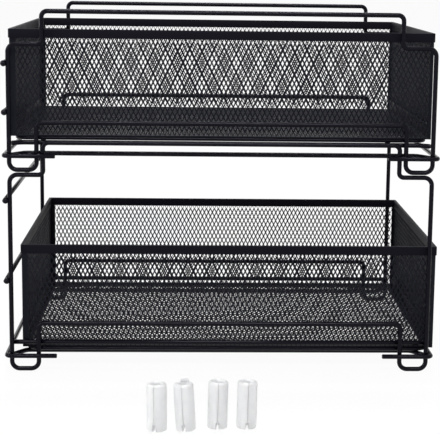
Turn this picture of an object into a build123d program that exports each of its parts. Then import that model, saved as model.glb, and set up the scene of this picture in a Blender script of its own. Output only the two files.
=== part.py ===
from build123d import *
import math
import os

# Two tier wire organizer with sliding mesh baskets.
# X runs along the tiers, +X is the open front where the baskets slide out.
# Y runs across, the near side is -Y. Z is up, the floor is at zero.

# Wire frame, all heights of a tier are above the centre of its foot wire
wire_d = 4.5
wire_sides = 8
wire_gap = 0.3
frame_length = 406.0
frame_width = 300.0
leg_inset = 26.0
riser_inset = 32.0
crossbar_height = 45.4
top_bar_rise = 31.0
lower_shoulder_height = 191.15
upper_shoulder_height = 119.3
foot_bend_radius = 7.5
crossbar_bend_radius = 5.5
shoulder_bend_radius = 7.5
riser_bend_radius = 4.5
top_bend_radius = 5.5

# Ties across the frame
stub_length = 44.0
bottom_tie_height = 13.9
lower_middle_tie_height = 87.6
lower_top_tie_height = 166.2
upper_middle_tie_height = 55.0
upper_top_tie_height = 101.2
tie_overhang = 3.0

# Side bars and runner rails
side_bar_height = 25.5
upper_bar_inset = 8.0
upper_bar_joggle = 12.0
rail_inset = 18.0
rail_joggle = 13.0
bar_bend_radius = 8.0

# Baskets
basket_end_allowance = 2.0
basket_side_clearance = 0.5
wall_height = 101.0
sheet = 1.0
rim_sheet = 0.8
rim_height = 8.5
rim_gap = 0.3
rim_depth = 3.2
rim_corner_radius = 1.8
base_wire_d = 3.5
base_wire_sides = 6
base_wire_inset = 3.5
base_bend_radius = 10.0
slide_clearance = 0.3
back_clearance = 2.15
lower_basket_out = 9.0

# Open mesh, each diamond stands for a block of the real small ones
mesh_margin = 7.0
mesh_strand = 4.0
side_diamonds = 7
end_diamonds = 4
floor_diamonds = 7
floor_rows = 3

# Loose sleeves, leans are how far the top stands off the base in X,
# backs how far each stands behind the nearest one
sleeve_height = 41.0
sleeve_od = 17.4
sleeve_bore = 8.5
sleeve_sides = 16
bore_sides = 12
sleeve_slit = 1.2
sleeve_notch_width = 3.2
sleeve_notch_height = 6.0
sleeve_edge = 1.8
sleeve_taper = 45.0
sleeve_row_offset = 180.2
sleeve_1_back = 0.0
sleeve_2_back = 1.0
sleeve_3_back = 7.1
sleeve_4_back = 7.1
sleeve_1_x = -57.8
sleeve_2_x = -33.0
sleeve_3_x = -5.9
sleeve_4_x = 19.2
sleeve_1_lean = -0.4
sleeve_2_lean = -2.6
sleeve_3_lean = 0.6
sleeve_4_lean = 0.7
sleeve_1_turn = -16.0
sleeve_2_turn = -12.0
sleeve_3_turn = 0.0
sleeve_4_turn = 3.0
tab_radius = 3.6

# Shared places
wire_r = wire_d / 2
wire_corner = wire_r / math.cos(math.pi / wire_sides)
wire_pitch = wire_d + wire_gap
half_length = frame_length / 2
half_width = frame_width / 2
lower_foot_z = wire_r
upper_foot_z = lower_foot_z + lower_shoulder_height + wire_pitch
rim_out = rim_gap + rim_sheet
tie_x = half_length + wire_pitch
tie_y = half_width + wire_pitch
basket_length = frame_length - basket_end_allowance
basket_width = 2 * (half_width - wire_pitch - wire_r - basket_side_clearance)


# Wires

def drawn(path, across, diameter=wire_d, sides=wire_sides):
    """A wire drawn along a path, one of its flats square to the direction across."""
    start = Plane(origin=path @ 0, x_dir=across, z_dir=path % 0)
    turn = 180 / sides
    section = RegularPolygon(diameter / 2, sides, major_radius=False, rotation=turn)
    return sweep(start * section, path=path)


def side_loop(side, foot_z, shoulder_height):
    """One side of a tier: feet, crossbar, posts, shoulders and top bar in one wire."""
    leg_x = half_length - leg_inset
    riser_x = half_length - riser_inset
    shoulder_z = foot_z + shoulder_height
    top_z = shoulder_z + top_bar_rise
    cross_z = foot_z + crossbar_height
    front = [
        (riser_x, top_z, top_bend_radius),
        (riser_x, shoulder_z, riser_bend_radius),
        (half_length, shoulder_z, shoulder_bend_radius),
        (half_length, foot_z, foot_bend_radius),
        (leg_x, foot_z, foot_bend_radius),
        (leg_x, cross_z, crossbar_bend_radius),
    ]
    back = [(-x, z, r) for x, z, r in reversed(front)]
    corners = front + back
    y = side * half_width
    points = [(x, y, z) for x, z, r in corners]
    radii = [r for x, z, r in corners]
    return drawn(FilletPolyline(*points, radius=radii, close=True), (0, 1, 0))


def wrapped_tie(end, foot_z):
    """The bottom tie: across outside the posts, round them and back along the sides."""
    z = foot_z + bottom_tie_height
    stub_x = half_length - stub_length
    points = [
        (end * stub_x, -tie_y, z),
        (end * tie_x, -tie_y, z),
        (end * tie_x, tie_y, z),
        (end * stub_x, tie_y, z),
    ]
    return drawn(FilletPolyline(*points, radius=[wire_pitch] * 2), (0, 0, 1))


def cross_tie(foot_z, height):
    """A straight tie across the back of the posts."""
    y = half_width + tie_overhang
    z = foot_z + height
    return drawn(Line((-tie_x, -y, z), (-tie_x, y, z)), (0, 0, 1))


def side_bar(side, foot_z):
    """A straight bar from post to post inside one side of the frame."""
    x = half_length + wire_r
    y = side * (half_width - wire_pitch)
    z = foot_z + side_bar_height
    return drawn(Line((-x, y, z), (x, y, z)), (0, 0, 1))


def bent_bar(side, z, inset, joggle):
    """A bar that runs inside the frame, its ends bent out to butt on the posts."""
    run_x = half_length - joggle
    slope = math.hypot(joggle, inset)
    reach = (wire_corner + wire_gap) / slope
    end_x = half_length - joggle * reach
    end_y = side * (half_width - inset * reach)
    y = side * (half_width - inset)
    points = [(-end_x, end_y, z), (-run_x, y, z), (run_x, y, z), (end_x, end_y, z)]
    return drawn(FilletPolyline(*points, radius=[bar_bend_radius] * 2), (0, 0, 1))


def base_wire(z):
    """The runner loop under a basket's floor."""
    r = base_wire_d / 2
    x = basket_length / 2 - base_wire_inset - r
    y = basket_width / 2 - r
    points = [(-x, -y, z), (x, -y, z), (x, y, z), (-x, y, z)]
    path = FilletPolyline(*points, radius=[base_bend_radius] * 4, close=True)
    return drawn(path, (0, 0, 1), base_wire_d, base_wire_sides)


# Basket sheets and rim

def mesh_sheet(length, height, columns, rows):
    """A flat sheet with a plain margin round an open field of staggered diamonds."""
    field_x = length - 2 * mesh_margin
    field_y = height - 2 * mesh_margin
    cell_x = field_x / columns
    cell_y = field_y / rows
    slope = math.hypot(cell_x, cell_y)
    half_x = cell_x / 2 - mesh_strand / 2 * slope / cell_y
    half_y = cell_y / 2 - mesh_strand / 2 * slope / cell_x
    diamond = Polygon((half_x, 0), (0, half_y), (-half_x, 0), (0, -half_y), align=None)
    places = []
    for column in range(2 * columns + 1):
        for row in range((column + 1) % 2, 2 * rows + 1, 2):
            x = (column - columns) * cell_x / 2
            y = (row - rows) * cell_y / 2
            places.append(Pos(x, y))
    holes = Sketch() + [place * diamond for place in places]
    holes = holes & Rectangle(field_x, field_y)
    return extrude(Rectangle(length, height) - holes, sheet)


def side_wall(side, z):
    """A long wall, standing from z up, its outer face at the basket's side."""
    panel = mesh_sheet(basket_length, wall_height, side_diamonds, 1)
    y = side * basket_width / 2
    outer = Plane(
        origin=(0, y, z + wall_height / 2), x_dir=(-side, 0, 0), z_dir=(0, -side, 0)
    )
    return outer * panel


def end_wall(end, z):
    """A short wall between the long ones, its outer face at the basket's end."""
    panel = mesh_sheet(basket_width - 2 * sheet, wall_height, end_diamonds, 1)
    x = end * basket_length / 2
    outer = Plane(
        origin=(x, 0, z + wall_height / 2), x_dir=(0, end, 0), z_dir=(-end, 0, 0)
    )
    return outer * panel


def basket_floor(z):
    """The floor between the four walls, its underside at z."""
    length = basket_length - 2 * sheet
    width = basket_width - 2 * sheet
    panel = mesh_sheet(length, width, floor_diamonds, floor_rows)
    return Pos(0, 0, z) * panel


def basket_rim(z):
    """A channel turned over the top edge of the walls, its top plate resting on them."""
    length = basket_length + 2 * rim_out
    width = basket_width + 2 * rim_out
    outer = RectangleRounded(length, width, rim_corner_radius)
    inner = Rectangle(length - 2 * rim_depth, width - 2 * rim_depth)
    slot_outer = Rectangle(length - 2 * rim_sheet, width - 2 * rim_sheet)
    slot_depth = rim_depth - rim_sheet
    slot_inner = Rectangle(length - 2 * slot_depth, width - 2 * slot_depth)
    ring = extrude(outer - inner, rim_height)
    slot = extrude(slot_outer - slot_inner, rim_height - rim_sheet)
    return Pos(0, 0, z + wall_height + rim_sheet - rim_height) * (ring - slot)


def basket(x, wire_bottom):
    """The seven pieces of one basket, centred at x with its wire's underside given."""
    wall_z = wire_bottom + base_wire_d
    pieces = {
        "floor": basket_floor(wall_z),
        "near_wall": side_wall(-1, wall_z),
        "far_wall": side_wall(1, wall_z),
        "back_wall": end_wall(-1, wall_z),
        "front_wall": end_wall(1, wall_z),
        "rim": basket_rim(wall_z),
        "base_wire": base_wire(wire_bottom + base_wire_d / 2),
    }
    return {name: Pos(x, 0, 0) * piece for name, piece in pieces.items()}


# Loose sleeves

def sleeve(x, back, lean, turn, tab=False):
    """A split tube stood on its end, leaning a little, with a notch at its foot."""
    tube = sleeve_tube()
    notch = Pos(0, -sleeve_od / 2, sleeve_notch_height / 2) * Box(
        sleeve_notch_width, sleeve_od, sleeve_notch_height
    )
    below = Pos(0, 0, -sleeve_od / 2) * Box(2 * sleeve_od, 2 * sleeve_od, sleeve_od)
    if tab:
        tube = tube + Pos(0, 0, sleeve_height) * top_tab()
    angle = math.degrees(math.atan2(lean, sleeve_height))
    tube = Rot(0, 0, turn) * (tube - notch)
    tube = Rot(0, angle, 0) * tube - below
    y = -half_width - sleeve_row_offset + back
    return Pos(x, y, 0) * tube


def sleeve_tube():
    """The split tube with its top edge bevelled, run on below its foot for the lean."""
    slit = Pos(0, -sleeve_od / 2) * Rectangle(sleeve_slit, sleeve_od)
    outer = RegularPolygon(sleeve_od / 2, sleeve_sides)
    bore = RegularPolygon(sleeve_bore / 2, bore_sides)
    top = outer.face()
    body = extrude(outer, sleeve_height - sleeve_edge)
    bevel = Pos(0, 0, sleeve_height - sleeve_edge) * extrude(
        top, sleeve_edge, taper=sleeve_taper
    )
    foot = Pos(0, 0, -sleeve_edge) * extrude(outer, sleeve_edge)
    hollow = Pos(0, 0, -sleeve_edge) * extrude(bore + slit, sleeve_height + sleeve_edge)
    return body + bevel + foot - hollow


def top_tab():
    """The round lug that stands on top of the second sleeve, behind its bore."""
    bore = RegularPolygon(sleeve_bore / 2, bore_sides)
    ring = RegularPolygon(sleeve_bore / 2 + tab_radius / 2, sleeve_sides) - bore
    behind = Pos(0, sleeve_od / 4) * Rectangle(sleeve_od, sleeve_od / 2)
    post = extrude(ring & behind, tab_radius)
    outline = RegularPolygon(tab_radius, sleeve_sides)
    arch = Rot(90, 0, 0) * extrude(outline, sleeve_od, both=True)
    return post & arch


# Assembly

def tier(prefix, foot_z, shoulder_height, middle_tie, top_tie, bars):
    """The ten wires of one tier's frame."""
    rail_z = foot_z + bottom_tie_height
    return {
        prefix + "near_side_loop": side_loop(-1, foot_z, shoulder_height),
        prefix + "far_side_loop": side_loop(1, foot_z, shoulder_height),
        prefix + "near_side_bar": bars[0],
        prefix + "far_side_bar": bars[1],
        prefix + "near_runner_rail": bent_bar(-1, rail_z, rail_inset, rail_joggle),
        prefix + "far_runner_rail": bent_bar(1, rail_z, rail_inset, rail_joggle),
        prefix + "back_bottom_tie": wrapped_tie(-1, foot_z),
        prefix + "back_middle_tie": cross_tie(foot_z, middle_tie),
        prefix + "back_top_tie": cross_tie(foot_z, top_tie),
        prefix + "front_bottom_tie": wrapped_tie(1, foot_z),
    }


def upper_bar(side):
    """An upper side bar, set in so that the basket's base wire rides on it."""
    z = upper_foot_z + side_bar_height
    return bent_bar(side, z, upper_bar_inset, upper_bar_joggle)


lower_bars = (side_bar(-1, lower_foot_z), side_bar(1, lower_foot_z))
upper_bars = (upper_bar(-1), upper_bar(1))
nodes = {}
nodes.update(
    tier(
        "lower_",
        lower_foot_z,
        lower_shoulder_height,
        lower_middle_tie_height,
        lower_top_tie_height,
        lower_bars,
    )
)
nodes.update(
    tier(
        "upper_",
        upper_foot_z,
        upper_shoulder_height,
        upper_middle_tie_height,
        upper_top_tie_height,
        upper_bars,
    )
)

shut_x = -tie_x + wire_r + back_clearance + basket_length / 2 + rim_out
lower_ride = lower_foot_z + bottom_tie_height + wire_r + slide_clearance
upper_ride = upper_foot_z + side_bar_height + wire_r + slide_clearance
lower_basket_x = shut_x + lower_basket_out
for name, piece in basket(lower_basket_x, lower_ride).items():
    nodes["lower_basket_" + name] = piece
for name, piece in basket(shut_x, upper_ride).items():
    nodes["upper_basket_" + name] = piece

nodes["sleeve_1"] = sleeve(sleeve_1_x, sleeve_1_back, sleeve_1_lean, sleeve_1_turn)
nodes["sleeve_2"] = sleeve(
    sleeve_2_x, sleeve_2_back, sleeve_2_lean, sleeve_2_turn, tab=True
)
nodes["sleeve_3"] = sleeve(sleeve_3_x, sleeve_3_back, sleeve_3_lean, sleeve_3_turn)
nodes["sleeve_4"] = sleeve(sleeve_4_x, sleeve_4_back, sleeve_4_lean, sleeve_4_turn)

# The whole part is centred in plan on the origin
low_x = -tie_x - wire_r
high_x = max(-low_x, lower_basket_x + basket_length / 2 + rim_out)
low_y = -half_width - sleeve_row_offset - sleeve_od / 2
high_y = tie_y + wire_r
centre = Pos(-(low_x + high_x) / 2, -(low_y + high_y) / 2, 0)

os.makedirs("parts", exist_ok=True)
for name, piece in nodes.items():
    export_step(centre * piece, "parts/" + name + ".step")
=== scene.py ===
import math

import bmesh
import bpy
from mathutils import Matrix, Vector


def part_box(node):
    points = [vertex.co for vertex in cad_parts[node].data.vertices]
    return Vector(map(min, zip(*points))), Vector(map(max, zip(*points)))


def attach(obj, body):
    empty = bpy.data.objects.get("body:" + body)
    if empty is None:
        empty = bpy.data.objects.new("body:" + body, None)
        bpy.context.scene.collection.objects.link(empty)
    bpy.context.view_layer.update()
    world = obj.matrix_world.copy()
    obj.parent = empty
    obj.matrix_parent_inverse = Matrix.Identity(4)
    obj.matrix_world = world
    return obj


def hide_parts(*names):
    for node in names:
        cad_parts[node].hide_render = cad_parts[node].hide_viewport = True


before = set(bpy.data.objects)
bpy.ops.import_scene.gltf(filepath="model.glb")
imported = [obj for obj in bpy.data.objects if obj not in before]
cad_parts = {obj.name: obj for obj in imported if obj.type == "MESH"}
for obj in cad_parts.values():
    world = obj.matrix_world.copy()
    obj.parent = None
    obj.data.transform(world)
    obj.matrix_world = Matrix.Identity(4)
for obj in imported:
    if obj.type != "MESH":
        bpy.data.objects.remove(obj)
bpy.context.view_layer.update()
MM = 0.001

# Frame sizes, in millimetres about the middle of the frame, floor at zero
WIRE = 2.25
WELD_GAP = 0.3
PITCH = 2 * WIRE + WELD_GAP
HALF_LENGTH = 203.0
HALF_WIDTH = 150.0
LEG_X = HALF_LENGTH - 26.0
RISER_X = HALF_LENGTH - 32.0
CROSSBAR = 45.4
TOP_BAR_RISE = 31.0
LOWER_SHOULDER = 191.15
TIERS = {
    "lower": {"foot": WIRE, "shoulder": LOWER_SHOULDER, "ties": (87.6, 166.2)},
    "upper": {"foot": WIRE + LOWER_SHOULDER + PITCH, "shoulder": 119.3, "ties": (55.0, 101.2)},
}
BOTTOM_TIE = 13.9
STUB = 44.0
TIE_OVERHANG = 3.0
TIE_NUGGET = 3.1
NUGGET_SHIFT = 1.4
BEAD_THIN = 0.8
BEAD_WIDE = 1.5
SIDE_BAR = 25.5
RAIL_INSET = 18.0
RAIL_JOGGLE = 13.0
UPPER_BAR_INSET = 8.0
UPPER_BAR_JOGGLE = 12.0

# The model's bars have flat sides; a round bar with as much steel has this radius
FLAT_SIDES = 8
BAR_ROUND = 2.31

# Bend radii on a wire's middle line
FOOT_BEND = 7.5
CROSSBAR_BEND = 5.5
SHOULDER_BEND = 7.5
RISER_BEND = 4.5
TOP_BEND = 5.5
BAR_BEND = 8.0
BEND_STEP_DEGREES = 11
LEAST_BEND_STEPS = 4

# A round wire's sides, and how its cut ends are rounded, as shares of its radius
WIRE_SIDES = 20
END_EASE_SHARE = 0.35
END_REACH_SHARE = 1.02
END_DRAW_SHARE = 0.72
SMOOTH_BELOW_DEGREES = 50

# Basket sizes, about a basket's own middle, its wall bottoms at zero
END_CLEARANCE = 1.0
SIDE_CLEARANCE = 0.5
BASKET_X = HALF_LENGTH - END_CLEARANCE
BASKET_Y = HALF_WIDTH - PITCH - WIRE - SIDE_CLEARANCE
WALL = 101.0
SHEET = 1.0
BASE_WIRE = 1.75
BASE_INSET = 3.5
BASE_BEND = 10.0
RIM_SHEET = 0.8
RIM_GAP = 0.3
RIM_OUT = RIM_SHEET + RIM_GAP
RIM_DEPTH = 3.2
RIM_HEIGHT = 8.5
RIM_CORNER = 1.8
LEAST_CORNER = 0.05
RIM_CORNER_STEPS = 4
RIM_EASE = 0.5
EASE_SHARE = 0.3
LIP_HEIGHT = 12.5
LIP_SHEET = 0.8
LIP_SHORTER = 3.0
HEM_R = 0.7
HEM_SIDES = 12

# The model's base wires have six flat sides; a round one with as much steel has this radius
BASE_ROUND = 1.84

# Expanded steel: strand width, diamond pitches and the uncut borders of each panel
STRAND = 1.2
DIAMOND_ALONG = 4.68
DIAMOND_UP = 9.53
STEEL = 0.6
BORDER_LAP = 0.4
MERGE_GAP = 0.02
SIDE_BORDERS = {"back": 5.5, "front": 3.0, "foot": 1.0, "head": 6.0}
END_BORDERS = {"side": 3.0, "foot": 12.5, "head": 6.0}
FLOOR_BORDERS = {"back": 5.0, "front": 8.0, "near": 9.5, "far": 2.5}

# Split sleeves: turn in degrees, lean of the top in millimetres, and the one with a lug
SLEEVE_R = 8.65
BORE_R = 4.25
SLEEVE_HEIGHT = 41.0
SLIT = 0.4
NOTCH_WIDTH = 3.2
NOTCH_HEIGHT = 6.0
SLEEVE_STEPS = 44
SLEEVE_SMOOTH_BELOW_DEGREES = 35
# The foot's rounding: height, and how far the outside is drawn in there
FOOT_ROUND = ((0.0, 1.0), (0.35, 0.35), (1.0, 0.0))
BODY_LEVELS = (18.0, 30.0)
TOP_ROLL = (0.0, 0.7, 1.4, 2.0, 2.4)
BORE_FLARE_SHARE = 0.55
LUG_R = 3.6
LUG_STEPS = 14
LUG_FRONT = 0.2
LUG_BACK = 2.1
LUG_EASE = 0.5
LUG_SINK = 1.0
LUG_DRAW_SHARE = 0.86
SLEEVES = (
    {"turn": -16, "lean": -0.4, "lug": False},
    {"turn": -12, "lean": -2.6, "lug": True},
    {"turn": 0, "lean": 0.6, "lug": False},
    {"turn": 3, "lean": 0.7, "lug": False},
)

# The fitted camera: place about the frame's middle, angles in radians, pixels of a 440 wide image
CAMERA_MM = (-31.853, -1505.247, 392.0)
YAW = 0.0425993
PITCH_DOWN = 0.1738121
ROLL = 0.0137929
FOCAL_PX = 1425.722
CENTRE_PX = 248.3988
IMAGE_WIDTH = 440
SENSOR_MM = 36.0
NEAREST = 0.05
FARTHEST = 60.0

# Studio lights: place and size in metres, power in watts, all aimed at the organizer
AIM = (0.0, 0.05, 0.15)
SOFTBOXES = {
    "overhead_strip": {"place": (0.0, 1.4, 3.9), "size": (1.4, 0.4), "power": 115.0},
    "front_strip": {"place": (0.0, -2.9, 3.0), "size": (1.6, 0.4), "power": 70.0},
    "left_softbox": {"place": (-1.6, -1.0, 1.0), "size": (0.6, 1.2), "power": 12.0},
    "left_edge_strip": {"place": (-1.2, 0.9, 0.3), "size": (0.15, 0.6), "power": 4.0},
}
WORLD_LEVEL = 0.35
PAPER_GLOW = 0.94
PAPER_HALF = 25.0

# Powder coat: how its roughness drifts over what length, and its orange peel
COAT_SMOOTHER = 0.06
COAT_ROUGHER = 0.08
COAT_DRIFT = 40.0
PEEL_STRENGTH = 0.25
COAT_TINT = "#F0EEFF"

# Vinyl: the size of its clouds, its ripple and how deep light scatters, in millimetres
VINYL_CLOUD = 7.0
VINYL_RIPPLE = 0.5
VINYL_SCATTER = 3.0

# Where the frame's middle lies in the shared frame, read from the model's own boxes
near_loop_low, near_loop_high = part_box("lower_near_side_loop")
far_loop_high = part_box("lower_far_side_loop")[1]
MIDDLE = Vector((
    (near_loop_low[0] + near_loop_high[0]) / 2,
    (near_loop_low[1] + far_loop_high[1]) / 2,
    0.0,
))


def at(x, y, z):
    """A point in the shared frame from millimetres about the frame's middle."""
    return MIDDLE + Vector((x, y, z)) * MM


# Colours and materials


def linear(code):
    """A linear colour from an sRGB hex code."""
    channels = [int(code[i:i + 2], 16) / 255 for i in (1, 3, 5)]
    return tuple(
        c / 12.92 if c <= 0.04045 else ((c + 0.055) / 1.055) ** 2.4 for c in channels
    ) + (1.0,)


def put(tree, kind, links=(), **settings):
    """Adds a node, sets its properties and inputs, and links sockets into it."""
    node = tree.nodes.new(kind)
    for name, value in settings.items():
        if name == "inputs":
            for key, entry in value.items():
                node.inputs[key].default_value = entry
        else:
            setattr(node, name, value)
    for key, socket in dict(links).items():
        tree.links.new(socket, node.inputs[key])
    return node


def new_material(name):
    """An empty material and its node tree."""
    material = bpy.data.materials.new(name)
    material.use_nodes = True
    material.node_tree.nodes.clear()
    return material, material.node_tree


def black_powder_coat(name, colour, gloss, roughness, grain, peel_depth):
    """Baked black powder coat on steel: deep black, a soft sheen and a faint orange peel."""
    material, tree = new_material(name)
    place = put(tree, "ShaderNodeTexCoord")
    peel = put(
        tree, "ShaderNodeTexNoise", {"Vector": place.outputs["Object"]},
        inputs={"Scale": 1 / (grain * MM), "Detail": 2.0, "Roughness": 0.5},
    )
    drift = put(
        tree, "ShaderNodeTexNoise", {"Vector": place.outputs["Object"]},
        inputs={"Scale": 1 / (COAT_DRIFT * MM), "Detail": 2.0},
    )
    spread = put(
        tree, "ShaderNodeMapRange", {"Value": drift.outputs["Fac"]},
        inputs={"To Min": roughness - COAT_SMOOTHER, "To Max": roughness + COAT_ROUGHER},
    )
    bump = put(
        tree, "ShaderNodeBump", {"Height": peel.outputs["Fac"]},
        inputs={"Strength": PEEL_STRENGTH, "Distance": peel_depth * MM},
    )
    coat = put(
        tree, "ShaderNodeBsdfPrincipled",
        {"Roughness": spread.outputs["Result"], "Normal": bump.outputs["Normal"]},
        inputs={
            "Base Color": linear(colour), "IOR": 1.45, "Specular IOR Level": gloss,
            "Specular Tint": linear(COAT_TINT),
        },
    )
    put(tree, "ShaderNodeOutputMaterial", {"Surface": coat.outputs["BSDF"]})
    return material


def milky_vinyl(name):
    """Moulded translucent vinyl: light goes in and scatters, so its edges stay bright."""
    material, tree = new_material(name)
    place = put(tree, "ShaderNodeTexCoord")
    cloud = put(
        tree, "ShaderNodeTexNoise", {"Vector": place.outputs["Object"]},
        inputs={"Scale": 1 / (VINYL_CLOUD * MM), "Detail": 3.0},
    )
    tint = put(tree, "ShaderNodeValToRGB", {"Fac": cloud.outputs["Fac"]})
    tint.color_ramp.elements[0].position = 0.3
    tint.color_ramp.elements[0].color = linear("#F3F4F6")
    tint.color_ramp.elements[1].position = 0.7
    tint.color_ramp.elements[1].color = linear("#FBFBFC")
    bump = put(
        tree, "ShaderNodeBump", {"Height": cloud.outputs["Fac"]},
        inputs={"Strength": 0.25, "Distance": VINYL_RIPPLE * MM},
    )
    vinyl = put(
        tree, "ShaderNodeBsdfPrincipled",
        {"Base Color": tint.outputs["Color"], "Normal": bump.outputs["Normal"]},
        inputs={
            "Roughness": 0.3, "IOR": 1.46, "Transmission Weight": 0.4,
            "Subsurface Weight": 0.6, "Subsurface Radius": (1.0, 1.0, 1.0),
            "Subsurface Scale": VINYL_SCATTER * MM,
        },
    )
    put(tree, "ShaderNodeOutputMaterial", {"Surface": vinyl.outputs["BSDF"]})
    return material


# Drawn wire: the smoothest coat, so each bar carries one thin line of light
WIRE_COAT = black_powder_coat(
    "satin_black_powder_coat", "#06060D", gloss=0.14, roughness=0.17, grain=0.9, peel_depth=0.02,
)
# Expanded steel: a rougher coat that stays dull, so the diamonds read as a dark lace
MESH_COAT = black_powder_coat(
    "black_coated_expanded_steel", "#18191F", gloss=0.055, roughness=0.45, grain=0.7, peel_depth=0.02,
)
# Folded rims: broad flat faces whose sheen shows the lamps as a soft brightening
RIM_COAT = black_powder_coat(
    "black_coated_folded_steel", "#0A0A11", gloss=0.09, roughness=0.50, grain=1.1, peel_depth=0.02,
)
# Sleeves: a cloudy white that glows where light comes through from behind
VINYL = milky_vinyl("milky_split_vinyl")


# Geometry trees


def tree_with_inputs(name, inputs):
    """An empty geometry tree with named inputs beside its geometry."""
    tree = bpy.data.node_groups.new(name, "GeometryNodeTree")
    tree.interface.new_socket("Geometry", in_out="INPUT", socket_type="NodeSocketGeometry")
    for label, kind in inputs:
        tree.interface.new_socket(label, in_out="INPUT", socket_type="NodeSocket" + kind)
    tree.interface.new_socket("Geometry", in_out="OUTPUT", socket_type="NodeSocketGeometry")
    return tree


def baked(obj, tree, values, thickness=None):
    """Runs a geometry tree on an object with the named inputs and keeps a plain mesh."""
    modifier = obj.modifiers.new("shape", "NODES")
    modifier.node_group = tree
    sockets = {s.name: s.identifier for s in tree.interface.items_tree if s.in_out == "INPUT"}
    for label, value in values.items():
        modifier[sockets[label]] = value
    if thickness:
        plate = obj.modifiers.new("plate", "SOLIDIFY")
        plate.thickness = thickness
        plate.offset = 0.0
    graph = bpy.context.evaluated_depsgraph_get()
    mesh = bpy.data.meshes.new_from_object(obj.evaluated_get(graph))
    obj.modifiers.clear()
    old = obj.data
    obj.data = mesh
    bpy.data.meshes.remove(old)


def drawn_wire_tree():
    """A route of edges becomes a round drawn wire with closed ends."""
    tree = tree_with_inputs(
        "drawn_wire", [("Wire radius", "Float"), ("Sides", "Int"), ("Finish", "Material")]
    )
    given = put(tree, "NodeGroupInput")
    route = put(tree, "GeometryNodeMeshToCurve", {"Mesh": given.outputs["Geometry"]})
    ring = put(
        tree, "GeometryNodeCurvePrimitiveCircle",
        {"Resolution": given.outputs["Sides"], "Radius": given.outputs["Wire radius"]},
    )
    wire = put(
        tree, "GeometryNodeCurveToMesh",
        {"Curve": route.outputs["Curve"], "Profile Curve": ring.outputs["Curve"]},
        inputs={"Fill Caps": True},
    )
    real = put(tree, "GeometryNodeRealizeInstances", {"Geometry": wire.outputs["Mesh"]})
    finish = put(
        tree, "GeometryNodeSetMaterial",
        {"Geometry": real.outputs["Geometry"], "Material": given.outputs["Finish"]},
    )
    put(tree, "NodeGroupOutput", {"Geometry": finish.outputs["Geometry"]})
    return tree


def expanded_mesh_tree():
    """A staggered field of one open diamond, as expanded steel is cut and pulled."""
    tree = tree_with_inputs(
        "expanded_mesh",
        [
            ("Diamond", "Object"), ("Columns", "Int"), ("Rows", "Int"),
            ("Pitch along", "Float"), ("Pitch up", "Float"), ("Finish", "Material"),
        ],
    )
    given = put(tree, "NodeGroupInput")
    unit = put(
        tree, "GeometryNodeObjectInfo", {"Object": given.outputs["Diamond"]},
        transform_space="ORIGINAL",
    )
    fields = []
    for fewer in (0, 1):
        columns = put(
            tree, "ShaderNodeMath", {0: given.outputs["Columns"]},
            operation="SUBTRACT", inputs={1: float(fewer)},
        )
        rows = put(
            tree, "ShaderNodeMath", {0: given.outputs["Rows"]},
            operation="SUBTRACT", inputs={1: float(fewer)},
        )
        spans = []
        for count, pitch in ((columns, "Pitch along"), (rows, "Pitch up")):
            steps = put(
                tree, "ShaderNodeMath", {0: count.outputs[0]},
                operation="SUBTRACT", inputs={1: 1.0},
            )
            spans.append(put(
                tree, "ShaderNodeMath",
                {0: steps.outputs[0], 1: given.outputs[pitch]}, operation="MULTIPLY",
            ))
        grid = put(
            tree, "GeometryNodeMeshGrid",
            {
                "Size X": spans[0].outputs[0], "Size Y": spans[1].outputs[0],
                "Vertices X": columns.outputs[0], "Vertices Y": rows.outputs[0],
            },
        )
        fields.append(put(
            tree, "GeometryNodeInstanceOnPoints",
            {"Points": grid.outputs["Mesh"], "Instance": unit.outputs["Geometry"]},
        ))
    both = put(tree, "GeometryNodeJoinGeometry")
    for field in fields:
        tree.links.new(field.outputs["Instances"], both.inputs["Geometry"])
    real = put(tree, "GeometryNodeRealizeInstances", {"Geometry": both.outputs["Geometry"]})
    merged = put(
        tree, "GeometryNodeMergeByDistance", {"Geometry": real.outputs["Geometry"]},
        inputs={"Distance": MERGE_GAP * MM},
    )
    finish = put(
        tree, "GeometryNodeSetMaterial",
        {"Geometry": merged.outputs["Geometry"], "Material": given.outputs["Finish"]},
    )
    put(tree, "NodeGroupOutput", {"Geometry": finish.outputs["Geometry"]})
    return tree


DRAWN_WIRE = drawn_wire_tree()
EXPANDED_MESH = expanded_mesh_tree()


# Mesh helpers


def new_object(name, mesh):
    """A scene object that carries a mesh."""
    obj = bpy.data.objects.new(name, mesh)
    bpy.context.scene.collection.objects.link(obj)
    return obj


def mesh_from(bm, name, smooth=False):
    """A mesh made from what has been built, which is freed."""
    mesh = bpy.data.meshes.new(name)
    bm.to_mesh(mesh)
    bm.free()
    for polygon in mesh.polygons:
        polygon.use_smooth = smooth
    return mesh


def shade_by_angle(obj, degrees):
    """Smooth faces, with edges sharper than the angle kept crisp."""
    mesh = obj.data
    for polygon in mesh.polygons:
        polygon.use_smooth = True
    bm = bmesh.new()
    bm.from_mesh(mesh)
    for edge in bm.edges:
        if len(edge.link_faces) == 2:
            edge.smooth = edge.calc_face_angle(0.0) < math.radians(degrees)
    bm.to_mesh(mesh)
    bm.free()


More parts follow.
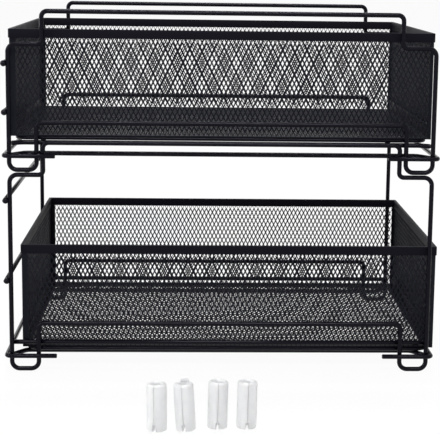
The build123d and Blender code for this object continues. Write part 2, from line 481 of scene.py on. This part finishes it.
def rounded_route(corners):
    """Points of a bent wire's middle line: (x, y, z, bend radius) corners, in mm."""
    points = []
    count = len(corners)
    for i, (x, y, z, radius) in enumerate(corners):
        here = Vector((x, y, z))
        if radius == 0:
            points.append(here)
            continue
        before = Vector(corners[(i - 1) % count][:3])
        after = Vector(corners[(i + 1) % count][:3])
        back = (before - here).normalized()
        on = (after - here).normalized()
        half = back.angle(on) / 2
        reach = radius / math.tan(half)
        centre = here + (back + on).normalized() * radius / math.sin(half)
        first = here + back * reach - centre
        last = here + on * reach - centre
        turn = first.angle(last)
        axis = first.cross(last).normalized()
        steps = max(LEAST_BEND_STEPS, math.ceil(turn / math.radians(BEND_STEP_DEGREES)))
        for step in range(steps + 1):
            points.append(centre + Matrix.Rotation(turn * step / steps, 3, axis) @ first)
    return points


def wire(name, node, body, corners, closed=False, radius=WIRE):
    """One bent wire that stands for a CAD wire."""
    points = rounded_route(corners)
    if not closed:
        points = eased_ends(points, radius)
    mesh = bpy.data.meshes.new(name)
    ends = [(i, i + 1) for i in range(len(points) - 1)]
    if closed:
        ends.append((len(points) - 1, 0))
    mesh.from_pydata([at(*point) for point in points], ends, [])
    obj = new_object(name, mesh)
    baked(obj, DRAWN_WIRE, {"Wire radius": radius * MM, "Sides": WIRE_SIDES, "Finish": WIRE_COAT})
    shade_by_angle(obj, SMOOTH_BELOW_DEGREES)
    if not closed:
        chamfer_ends(obj, [at(*points[0]), at(*points[-1])], radius)
    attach(obj, body)
    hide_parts(node)


def eased_ends(points, radius):
    """Adds a ring just inside each cut end, so that the end can be rounded over."""
    ease = radius * END_EASE_SHARE
    first = points[0] + (points[1] - points[0]).normalized() * ease
    last = points[-1] + (points[-2] - points[-1]).normalized() * ease
    return [points[0], first] + points[1:-1] + [last, points[-1]]


def chamfer_ends(obj, tips, radius):
    """Draws in the rim of each cut end, as coating rounds it."""
    for vertex in obj.data.vertices:
        for tip in tips:
            spread = vertex.co - tip
            if spread.length < radius * MM * END_REACH_SHARE:
                vertex.co = tip + spread * END_DRAW_SHARE


# Frame wires


def loop_corners(y, foot, shoulder):
    """The twelve bends of a side loop: top bar, risers, shoulders, posts, feet and crossbar."""
    top = foot + shoulder + TOP_BAR_RISE
    high = foot + shoulder
    cross = foot + CROSSBAR
    front = [
        (RISER_X, y, top, TOP_BEND), (RISER_X, y, high, RISER_BEND),
        (HALF_LENGTH, y, high, SHOULDER_BEND), (HALF_LENGTH, y, foot, FOOT_BEND),
        (LEG_X, y, foot, FOOT_BEND), (LEG_X, y, cross, CROSSBAR_BEND),
    ]
    back = [(-x, y, z, r) for x, y, z, r in reversed(front)]
    return front + back


def bent_bar_corners(side, z, inset, joggle):
    """A bar that runs inside the loop, its ends joggled out to just short of the posts."""
    reach = (WIRE / math.cos(math.pi / FLAT_SIDES) + WELD_GAP) / math.hypot(joggle, inset)
    end_x = HALF_LENGTH - joggle * reach
    end_y = side * (HALF_WIDTH - inset * reach)
    y = side * (HALF_WIDTH - inset)
    run = HALF_LENGTH - joggle
    bends = [(-run, y, z, BAR_BEND), (run, y, z, BAR_BEND)]
    return [(-end_x, end_y, z, 0), *bends, (end_x, end_y, z, 0)]


def tier_wires(tier, foot, shoulder, ties):
    """The ten wires of one tier's frame."""
    body = tier + "_frame"
    tie_y = HALF_WIDTH + PITCH
    tie_x = HALF_LENGTH + PITCH
    for side, word in ((-1, "near"), (1, "far")):
        name = f"{tier}_{word}_side_loop"
        wire(name + "_wire", name, body, loop_corners(side * HALF_WIDTH, foot, shoulder), True)
        name = f"{tier}_{word}_runner_rail"
        corners = bent_bar_corners(side, foot + BOTTOM_TIE, RAIL_INSET, RAIL_JOGGLE)
        wire(name + "_wire", name, body, corners, radius=BAR_ROUND)
        name = f"{tier}_{word}_side_bar"
        z = foot + SIDE_BAR
        if tier == "upper":
            corners = bent_bar_corners(side, z, UPPER_BAR_INSET, UPPER_BAR_JOGGLE)
        else:
            y = side * (HALF_WIDTH - PITCH)
            x = HALF_LENGTH + WIRE
            corners = [(-x, y, z, 0), (x, y, z, 0)]
        wire(name + "_wire", name, body, corners, radius=BAR_ROUND)
    for end, word in ((-1, "back"), (1, "front")):
        name = f"{tier}_{word}_bottom_tie"
        z = foot + BOTTOM_TIE
        stub = end * (HALF_LENGTH - STUB)
        x = end * tie_x
        corners = [
            (stub, -tie_y, z, 0), (x, -tie_y, z, PITCH), (x, tie_y, z, PITCH), (stub, tie_y, z, 0),
        ]
        wire(name + "_wire", name, body, corners)
    for height, word in zip(ties, ("middle", "top")):
        name = f"{tier}_back_{word}_tie"
        y = HALF_WIDTH + TIE_OVERHANG
        corners = [(-tie_x, -y, foot + height, 0), (-tie_x, y, foot + height, 0)]
        wire(name + "_wire", name, body, corners)


def weld_points(tier, foot, ties):
    """Where two frame wires touch: (middle of the weld, its half sizes along X, Y, Z)."""
    half_pitch = PITCH / 2
    spots = []
    for end in (-1, 1):
        for side in (-1, 1):
            post = (end * HALF_LENGTH, side * HALF_WIDTH)
            low = foot + BOTTOM_TIE
            bead_x = (BEAD_THIN, BEAD_WIDE, BEAD_WIDE)
            bead_y = (BEAD_WIDE, BEAD_THIN, BEAD_WIDE)
            spots.append(((post[0] + end * half_pitch, post[1], low), bead_x))
            spots.append(((post[0], post[1] + side * half_pitch, low), bead_y))
            leg = end * LEG_X
            spots.append(((leg, post[1] + side * half_pitch, low), bead_y))
            if tier == "lower":
                bar = foot + SIDE_BAR
                spots.append(((post[0], post[1] - side * half_pitch, bar), bead_y))
                spots.append(((leg, post[1] - side * half_pitch, bar), bead_y))
            if end < 0:
                # a back tie's cut end, melted round on its post
                nugget = post[0] - PITCH - WIRE + TIE_NUGGET
                tip = post[1] + side * NUGGET_SHIFT
                for height in ties:
                    spots.append(((nugget, tip, foot + height), (TIE_NUGGET,) * 3))
    return spots


def weld_beads(tier, foot, ties):
    """The small fused beads between crossing wires, one piece for each tier."""
    bm = bmesh.new()
    for (x, y, z), half_sizes in weld_points(tier, foot, ties):
        size = Vector(half_sizes) * MM
        place = Matrix.Translation(at(x, y, z)) @ Matrix.Diagonal((*size, 1.0))
        bmesh.ops.create_icosphere(bm, subdivisions=2, radius=1.0, matrix=place)
    obj = new_object(tier + "_weld_beads", mesh_from(bm, tier + "_weld_beads", True))
    obj.data.materials.append(WIRE_COAT)
    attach(obj, tier + "_frame")


for tier, sizes in TIERS.items():
    tier_wires(tier, **sizes)
    weld_beads(tier, sizes["foot"], sizes["ties"])


# Basket pieces


def open_diamond(name, along, up):
    """One flat cell of expanded steel: a rhombus with a rhombus hole."""
    slope = math.hypot(along, up)
    outer = (along / 2, up / 2)
    inner = (
        along / 2 - STRAND / 2 * slope / up,
        up / 2 - STRAND / 2 * slope / along,
    )
    turns = ((1, 0), (0, 1), (-1, 0), (0, -1))
    points = [Vector((a * u, b * v, 0)) * MM for a, b in (outer, inner) for u, v in turns]
    faces = [(k, (k + 1) % 4, 4 + (k + 1) % 4, 4 + k) for k in range(4)]
    mesh = bpy.data.meshes.new(name)
    mesh.from_pydata(points, [], faces)
    return bpy.data.objects.new(name, mesh)


def mesh_panel(name, node, body, size, borders, placed):
    """A panel of expanded steel in its uncut borders, standing for a CAD sheet."""
    (length, height), (left, right, low, high) = size, borders
    columns = round((length - left - right) / DIAMOND_ALONG)
    rows = round((height - low - high) / DIAMOND_UP)
    along = (length - left - right) / columns
    up = (height - low - high) / rows
    unit = open_diamond(name + "_cell", along, up)
    obj = new_object(name, bpy.data.meshes.new(name))
    values = {
        "Diamond": unit, "Columns": columns, "Rows": rows,
        "Pitch along": along * MM, "Pitch up": up * MM, "Finish": MESH_COAT,
    }
    baked(obj, EXPANDED_MESH, values, STEEL * MM)
    cell = unit.data
    bpy.data.objects.remove(unit)
    bpy.data.meshes.remove(cell)
    bm = bmesh.new()
    bm.from_mesh(obj.data)
    bm.transform(Matrix.Translation(Vector((left - right, low - high, 0)) * MM / 2))
    add_borders(bm, size, borders)
    bm.transform(placed)
    for face in bm.faces:
        face.material_index = 0
    bm.to_mesh(obj.data)
    bm.free()
    obj.data.materials.clear()
    obj.data.materials.append(MESH_COAT)
    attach(obj, body)
    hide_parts(node)
    return obj


def add_borders(bm, size, borders):
    """The uncut border of a panel: a frame of sheet that just overlaps the diamonds."""
    (length, height), (left, right, low, high) = size, borders
    half = SHEET / 2
    outer = (-length / 2, length / 2, -height / 2, height / 2)
    inner = (
        outer[0] + left + BORDER_LAP, outer[1] - right - BORDER_LAP,
        outer[2] + low + BORDER_LAP, outer[3] - high - BORDER_LAP,
    )
    rings = []
    for (x0, x1, y0, y1), z in ((outer, half), (inner, half), (inner, -half), (outer, -half)):
        corners = ((x1, y1), (x0, y1), (x0, y0), (x1, y0))
        rings.append([bm.verts.new(Vector((x, y, z)) * MM) for x, y in corners])
    for r in range(4):
        for k in range(4):
            n = (k + 1) % 4
            after = rings[(r + 1) % 4]
            bm.faces.new((rings[r][k], rings[r][n], after[n], after[k]))


def add_lips(floor, x, z):
    """The floor panel's ends, turned up against the end walls and hemmed."""
    bm = bmesh.new()
    bm.from_mesh(floor.data)
    run = 2 * BASKET_Y - LIP_SHORTER
    sizes = Vector((LIP_SHEET, run, LIP_HEIGHT - SHEET - HEM_R)) * MM
    middle_x = BASKET_X - SHEET - LIP_SHEET / 2
    middle_z = z + (LIP_HEIGHT + SHEET - HEM_R) / 2
    for end in (-1, 1):
        middle = at(x + end * middle_x, 0, middle_z)
        place = Matrix.Translation(middle) @ Matrix.Diagonal((*sizes, 1.0))
        bmesh.ops.create_cube(bm, size=1.0, matrix=place)
        hem = at(x + end * (BASKET_X - SHEET - HEM_R), 0, z + LIP_HEIGHT - HEM_R)
        turned = Matrix.Translation(hem) @ Matrix.Rotation(math.pi / 2, 4, "X")
        made = bmesh.ops.create_cone(
            bm, cap_ends=True, segments=HEM_SIDES, radius1=HEM_R * MM, radius2=HEM_R * MM,
            depth=run * MM, matrix=turned,
        )
        for face in {f for v in made["verts"] for f in v.link_faces}:
            face.smooth = len(face.verts) == 4
    bm.to_mesh(floor.data)
    bm.free()


def upright(x, y, z, normal):
    """Puts a flat panel upright, its up along Z and its outer side along the normal."""
    n = Vector(normal)
    up = Vector((0, 0, 1))
    across = up.cross(n)
    turn = Matrix((across, up, n)).transposed().to_4x4()
    return Matrix.Translation(at(x, y, z)) @ turn


def basket_rim(name, node, body, x, floor_z):
    """The folded steel channel over the walls' top edge, its bends softly rounded."""
    depth, ease, near_ease = RIM_DEPTH, RIM_EASE, RIM_EASE * EASE_SHARE
    top = floor_z + WALL + RIM_SHEET
    low = top - RIM_HEIGHT
    profile = [
        (0, low), (0, top - ease), (near_ease, top - near_ease), (ease, top),
        (depth - ease, top), (depth - near_ease, top - near_ease), (depth, top - ease),
        (depth, low), (depth - RIM_SHEET, low), (depth - RIM_SHEET, top - RIM_SHEET),
        (RIM_SHEET, top - RIM_SHEET), (RIM_SHEET, low),
    ]
    bm = bmesh.new()
    rings = []
    for inset, z in profile:
        half_x = BASKET_X + RIM_OUT - inset
        half_y = BASKET_Y + RIM_OUT - inset
        radius = max(RIM_CORNER - inset, LEAST_CORNER)
        ring = []
        for u, v, start in ((1, 1, 0), (-1, 1, 90), (-1, -1, 180), (1, -1, 270)):
            for step in range(RIM_CORNER_STEPS + 1):
                a = math.radians(start + 90 / RIM_CORNER_STEPS * step)
                px = u * (half_x - radius) + radius * math.cos(a)
                py = v * (half_y - radius) + radius * math.sin(a)
                ring.append(bm.verts.new(at(x + px, py, z)))
        rings.append(ring)
    count = len(rings[0])
    for r in range(len(rings)):
        after = rings[(r + 1) % len(rings)]
        for k in range(count):
            n = (k + 1) % count
            bm.faces.new((rings[r][k], rings[r][n], after[n], after[k]))
    bmesh.ops.recalc_face_normals(bm, faces=bm.faces)
    obj = new_object(name, mesh_from(bm, name))
    obj.data.materials.append(RIM_COAT)
    shade_by_angle(obj, SMOOTH_BELOW_DEGREES)
    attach(obj, body)
    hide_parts(node)


def basket(tier):
    """The seven dressed pieces of one basket, placed by the model's own floor."""
    low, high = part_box(tier + "_basket_floor")
    x = ((low[0] + high[0]) / 2 - MIDDLE.x) / MM
    z = low[2] / MM
    body = tier + "_basket"
    back, front = SIDE_BORDERS["back"], SIDE_BORDERS["front"]
    foot, head = SIDE_BORDERS["foot"], SIDE_BORDERS["head"]
    for side, word, borders in (
        (-1, "near", (back, front, foot, head)), (1, "far", (front, back, foot, head)),
    ):
        name = f"{body}_{word}_wall"
        place = upright(x, side * (BASKET_Y - SHEET / 2), z + WALL / 2, (0, side, 0))
        mesh_panel(name + "_mesh", name, body, (2 * BASKET_X, WALL), borders, place)
    edge, foot, head = END_BORDERS["side"], END_BORDERS["foot"], END_BORDERS["head"]
    for end, word in ((-1, "back"), (1, "front")):
        name = f"{body}_{word}_wall"
        place = upright(x + end * (BASKET_X - SHEET / 2), 0, z + WALL / 2, (end, 0, 0))
        size = (2 * (BASKET_Y - SHEET), WALL)
        mesh_panel(name + "_mesh", name, body, size, (edge, edge, foot, head), place)
    name = body + "_floor"
    place = Matrix.Translation(at(x, 0, z + SHEET / 2))
    size = (2 * (BASKET_X - SHEET), 2 * (BASKET_Y - SHEET))
    borders = tuple(FLOOR_BORDERS[word] for word in ("back", "front", "near", "far"))
    floor = mesh_panel(name + "_mesh", name, body, size, borders, place)
    add_lips(floor, x, z)
    basket_rim(body + "_rim_channel", body + "_rim", body, x, z)
    wx = BASKET_X - BASE_INSET - BASE_WIRE
    wy = BASKET_Y - BASE_WIRE
    corners = [(-wx, -wy), (wx, -wy), (wx, wy), (-wx, wy)]
    corners = [(x + a, b, z - BASE_WIRE, BASE_BEND) for a, b in corners]
    wire(body + "_base_wire_loop", body + "_base_wire", body, corners, True, BASE_ROUND)


basket("lower")
basket("upper")


# Split sleeves


def sleeve_tube(bm):
    """A tube slit down its front, notched at the slit's foot, its top edge rolled over."""
    slit = math.asin(SLIT / 2 / SLEEVE_R)
    notch = math.asin(NOTCH_WIDTH / 2 / SLEEVE_R)
    turn = 2 * (math.pi - notch)
    around = [notch + turn * k / SLEEVE_STEPS for k in range(SLEEVE_STEPS + 1)]
    angles = [slit, *around, 2 * math.pi - slit]
    levels = [(z, SLEEVE_R - drawn, BORE_R) for z, drawn in FOOT_ROUND]
    levels += [(z, SLEEVE_R, BORE_R) for z in (NOTCH_HEIGHT, *BODY_LEVELS)]
    rise = TOP_ROLL[-1]
    for r in TOP_ROLL:
        drop = rise - math.sqrt(rise ** 2 - r ** 2)
        levels.append((SLEEVE_HEIGHT - rise + r, SLEEVE_R - drop, BORE_R + drop * BORE_FLARE_SHARE))
    walls = []
    for column in (1, 2):
        walls.append([
            [
                bm.verts.new(Vector((
                    level[column] * math.sin(a), -level[column] * math.cos(a), level[0]
                )) * MM)
                for level in levels
            ]
            for a in angles
        ])
    outer, inner = walls
    last = len(angles) - 2
    top = len(levels) - 2

    def solid(i, j):
        """Whether the tube has a cell here: the notch takes the slit's foot away."""
        cut = i in (0, last) and j < len(FOOT_ROUND)
        return 0 <= i <= last and 0 <= j <= top and not cut

    for i in range(last + 1):
        for j in range(top + 1):
            if not solid(i, j):
                continue
            cell = ((i, j), (i + 1, j), (i + 1, j + 1), (i, j + 1))
            bm.faces.new([outer[a][b] for a, b in cell])
            bm.faces.new([inner[a][b] for a, b in reversed(cell)])
            beside = ((i, j - 1), (i + 1, j), (i, j + 1), (i - 1, j))
            for k, (a, b) in enumerate(beside):
                if not solid(a, b):
                    (a0, b0), (a1, b1) = cell[k], cell[(k + 1) % 4]
                    bm.faces.new((outer[a1][b1], outer[a0][b0], inner[a0][b0], inner[a1][b1]))


def sleeve_lug(bm):
    """The round lug that stands behind the bore on top of one sleeve."""
    angles = [math.pi * k / LUG_STEPS for k in range(LUG_STEPS + 1)]
    arch = [(LUG_R * math.cos(a), LUG_R * math.sin(a)) for a in angles]
    front, back = BORE_R + LUG_FRONT, BORE_R + LUG_BACK
    foot = SLEEVE_HEIGHT - LUG_SINK
    rings = []
    for y, draw in (
        (front, LUG_DRAW_SHARE), (front + LUG_EASE, 1.0), (back - LUG_EASE, 1.0), (back, LUG_DRAW_SHARE),
    ):
        rings.append([
            bm.verts.new(Vector((x * draw, y, foot + (z + LUG_SINK) * draw)) * MM) for x, z in arch
        ])
    for before, after in zip(rings, rings[1:]):
        for k in range(len(arch)):
            n = (k + 1) % len(arch)
            bm.faces.new((before[k], before[n], after[n], after[k]))
    bm.faces.new(rings[0])
    bm.faces.new(list(reversed(rings[-1])))


def sleeve(node, turn, lean, lug):
    """One split vinyl sleeve, stood on its end where the model has it."""
    low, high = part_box(node)
    tilt = math.atan2(lean, SLEEVE_HEIGHT)
    foot_x = (low[0] + high[0]) / 2 - SLEEVE_HEIGHT / 2 * math.sin(tilt) * MM
    middle = Vector((foot_x, (low[1] + high[1]) / 2, 0.0))
    bm = bmesh.new()
    sleeve_tube(bm)
    if lug:
        sleeve_lug(bm)
    bmesh.ops.recalc_face_normals(bm, faces=bm.faces)
    bm.transform(
        Matrix.Translation(middle) @ Matrix.Rotation(tilt, 4, "Y")
        @ Matrix.Rotation(math.radians(turn), 4, "Z")
    )
    for vertex in bm.verts:
        vertex.co.z = max(vertex.co.z, 0.0)
    obj = new_object(node + "_vinyl", mesh_from(bm, node + "_vinyl"))
    obj.data.materials.append(VINYL)
    shade_by_angle(obj, SLEEVE_SMOOTH_BELOW_DEGREES)
    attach(obj, "lower_frame")
    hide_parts(node)


for number, kind in enumerate(SLEEVES, start=1):
    sleeve(f"sleeve_{number}", **kind)


# Floor, light and camera


def shown_white(tree):
    """One where a ray shows the background: to the camera, in gloss and through vinyl."""
    rays = put(tree, "ShaderNodeLightPath")
    seen = rays.outputs["Is Camera Ray"]
    for kind in ("Is Glossy Ray", "Is Transmission Ray"):
        seen = put(
            tree, "ShaderNodeMath", {0: seen, 1: rays.outputs[kind]}, operation="MAXIMUM",
        ).outputs[0]
    return seen


def studio_floor():
    """White paper that shows as plain white and still keeps a faint shadow."""
    bm = bmesh.new()
    bmesh.ops.create_grid(bm, x_segments=1, y_segments=1, size=PAPER_HALF)
    obj = new_object("studio_floor", mesh_from(bm, "studio_floor"))
    material, tree = new_material("seamless_white_paper")
    paper = put(
        tree, "ShaderNodeBsdfPrincipled",
        inputs={"Base Color": linear("#FAFAFA"), "Roughness": 0.9, "Specular IOR Level": 0.1},
    )
    white = put(tree, "ShaderNodeEmission", inputs={"Color": (1, 1, 1, 1), "Strength": 1.0})
    glow = put(
        tree, "ShaderNodeMath", {0: shown_white(tree)}, operation="MULTIPLY", inputs={1: PAPER_GLOW},
    )
    mix = put(
        tree, "ShaderNodeMixShader",
        {0: glow.outputs[0], 1: paper.outputs["BSDF"], 2: white.outputs["Emission"]},
    )
    put(tree, "ShaderNodeOutputMaterial", {"Surface": mix.outputs["Shader"]})
    obj.data.materials.append(material)


def studio_world():
    """A dim even room that shows as plain white."""
    world = bpy.data.worlds.new("studio")
    bpy.context.scene.world = world
    world.use_nodes = True
    tree = world.node_tree
    tree.nodes.clear()
    plain = put(
        tree, "ShaderNodeBackground", inputs={"Color": (1, 1, 1, 1), "Strength": WORLD_LEVEL},
    )
    white = put(tree, "ShaderNodeBackground", inputs={"Color": (1, 1, 1, 1), "Strength": 1.0})
    mix = put(
        tree, "ShaderNodeMixShader",
        {0: shown_white(tree), 1: plain.outputs["Background"], 2: white.outputs["Background"]},
    )
    put(tree, "ShaderNodeOutputWorld", {"Surface": mix.outputs["Shader"]})


def softbox(name, place, size, power):
    """A rectangular lamp that faces the organizer."""
    data = bpy.data.lights.new(name, "AREA")
    data.shape = "RECTANGLE"
    data.size, data.size_y = size
    data.energy = power
    obj = bpy.data.objects.new(name, data)
    bpy.context.scene.collection.objects.link(obj)
    obj.location = place
    direction = Vector(AIM) - Vector(place)
    obj.rotation_euler = direction.to_track_quat("-Z", "Y").to_euler()


def photograph_camera():
    """The camera fitted to the photograph's own corners and bars."""
    forward = Vector((
        math.sin(YAW) * math.cos(PITCH_DOWN), math.cos(YAW) * math.cos(PITCH_DOWN),
        -math.sin(PITCH_DOWN),
    ))
    level = Vector((math.cos(YAW), -math.sin(YAW), 0.0))
    right = math.cos(ROLL) * level - math.sin(ROLL) * forward.cross(level)
    down = forward.cross(right)
    data = bpy.data.cameras.new("photograph")
    data.sensor_fit = "HORIZONTAL"
    data.sensor_width = SENSOR_MM
    data.lens = FOCAL_PX / IMAGE_WIDTH * data.sensor_width
    data.shift_x = (IMAGE_WIDTH / 2 - CENTRE_PX) / IMAGE_WIDTH
    data.clip_start = NEAREST
    data.clip_end = FARTHEST
    obj = bpy.data.objects.new("photograph", data)
    bpy.context.scene.collection.objects.link(obj)
    turn = Matrix((right, -down, -forward)).transposed().to_4x4()
    obj.matrix_world = Matrix.Translation(at(*CAMERA_MM)) @ turn
    bpy.context.scene.camera = obj


bpy.context.scene.view_settings.view_transform = "Standard"
studio_floor()
studio_world()
for name, box in SOFTBOXES.items():
    softbox(name, **box)
photograph_camera()
